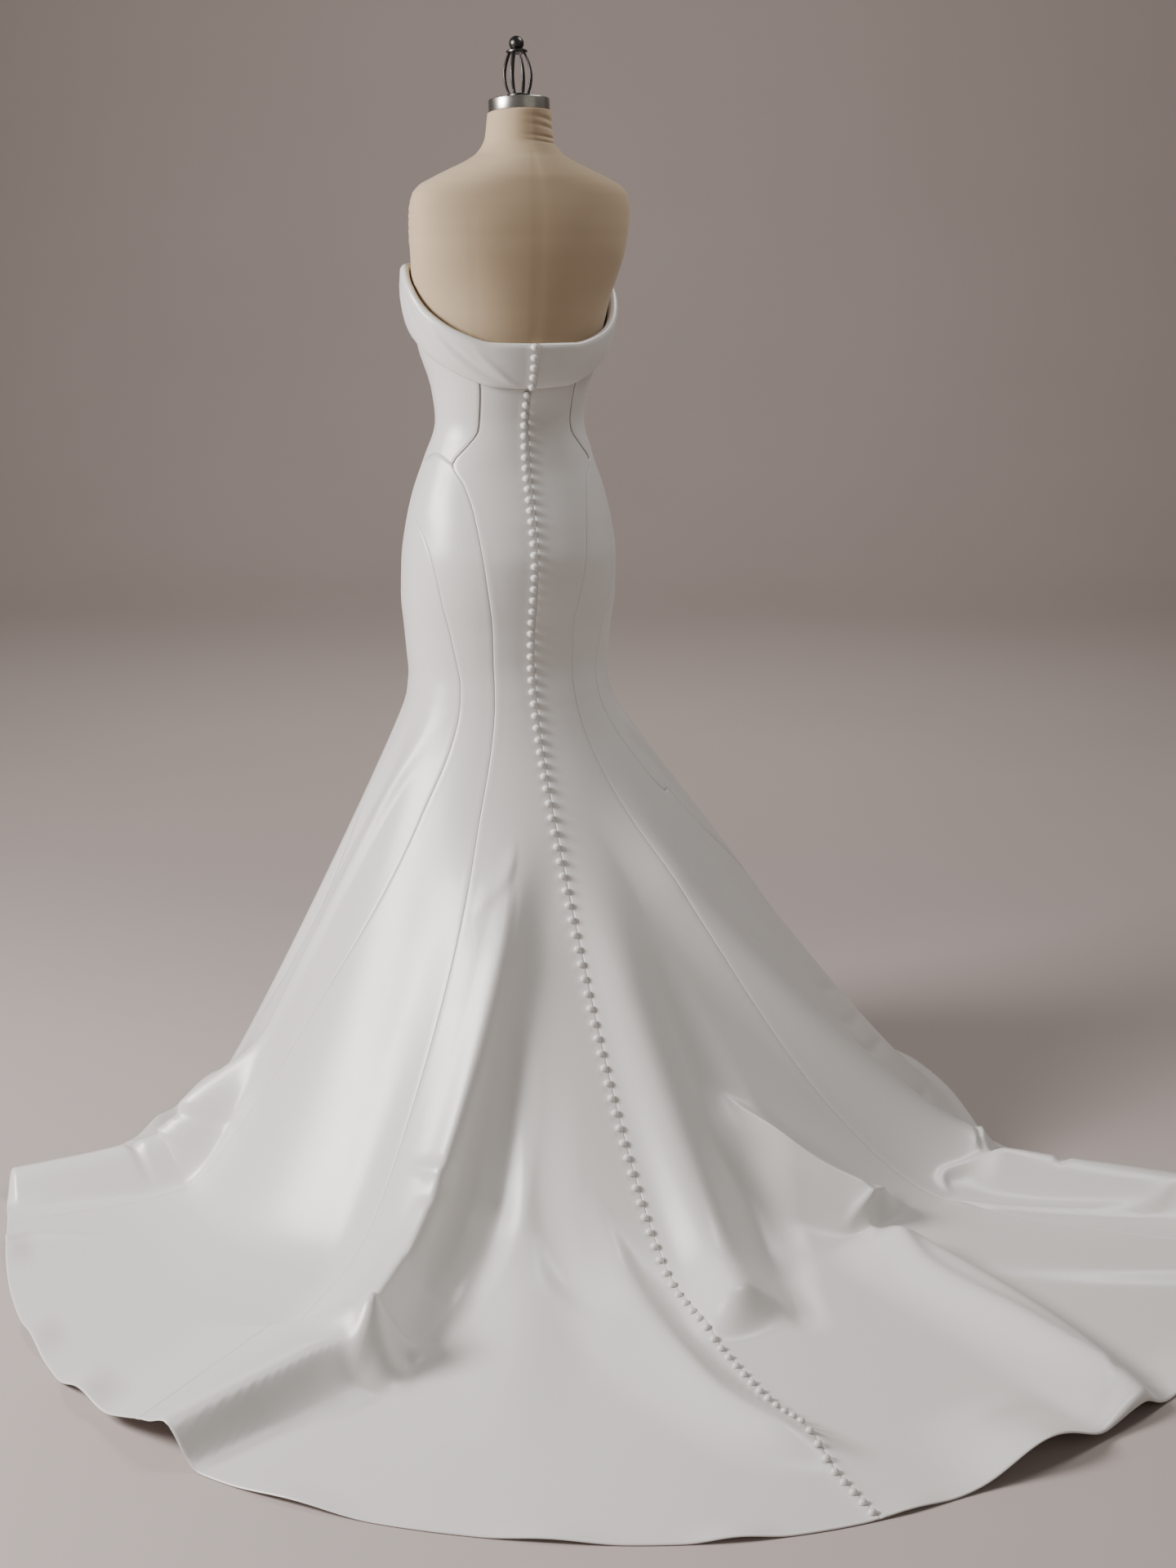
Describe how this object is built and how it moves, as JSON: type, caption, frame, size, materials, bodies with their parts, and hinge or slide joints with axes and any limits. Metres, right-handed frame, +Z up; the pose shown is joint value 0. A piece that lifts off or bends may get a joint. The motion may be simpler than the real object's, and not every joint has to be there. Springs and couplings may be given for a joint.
{
  "type": "wedding dress on a dress form",
  "caption": "Strapless trumpet-shaped wedding dress with a fold-over band, covered buttons down the back and a long train, worn by a limbless dress form on a round stand.",
  "frame": {"origin": "centre of the stand's underside, on the floor", "axes": "+Z up, -Y the wearer's front, +Y the back and the train, +X the wearer's left"},
  "size_m": [1.7725, 1.7372, 1.7609],
  "materials": {
    "ivory_satin": "heavy ivory satin with a soft sheen",
    "natural_linen": "plain-woven natural linen stretched over a hard torso",
    "brushed_metal": "spun and brushed, slightly worn",
    "dark_iron": "dark gunmetal, satin"
  },
  "bodies": {
    "root": {"back_left": "ivory_satin", "back_right": "ivory_satin", "bodice_side_back_left": "ivory_satin", "bodice_side_back_right": "ivory_satin", "skirt_side_back_left": "ivory_satin", "skirt_side_back_right": "ivory_satin", "skirt_side_gore_left": "ivory_satin", "skirt_side_gore_right": "ivory_satin", "front_side_left": "ivory_satin", "front_side_right": "ivory_satin", "front_centre": "ivory_satin", "folded_band": "ivory_satin", "buttons_band": "ivory_satin", "buttons_bodice": "ivory_satin", "buttons_hip": "ivory_satin", "buttons_skirt": "ivory_satin", "buttons_lower_skirt": "ivory_satin", "buttons_train": "ivory_satin", "form_body": "natural_linen", "neck_cap": "brushed_metal", "stand_pole": "brushed_metal", "cage_finial": "dark_iron", "stand_base": "dark_iron"}
  },
  "joints": []
}
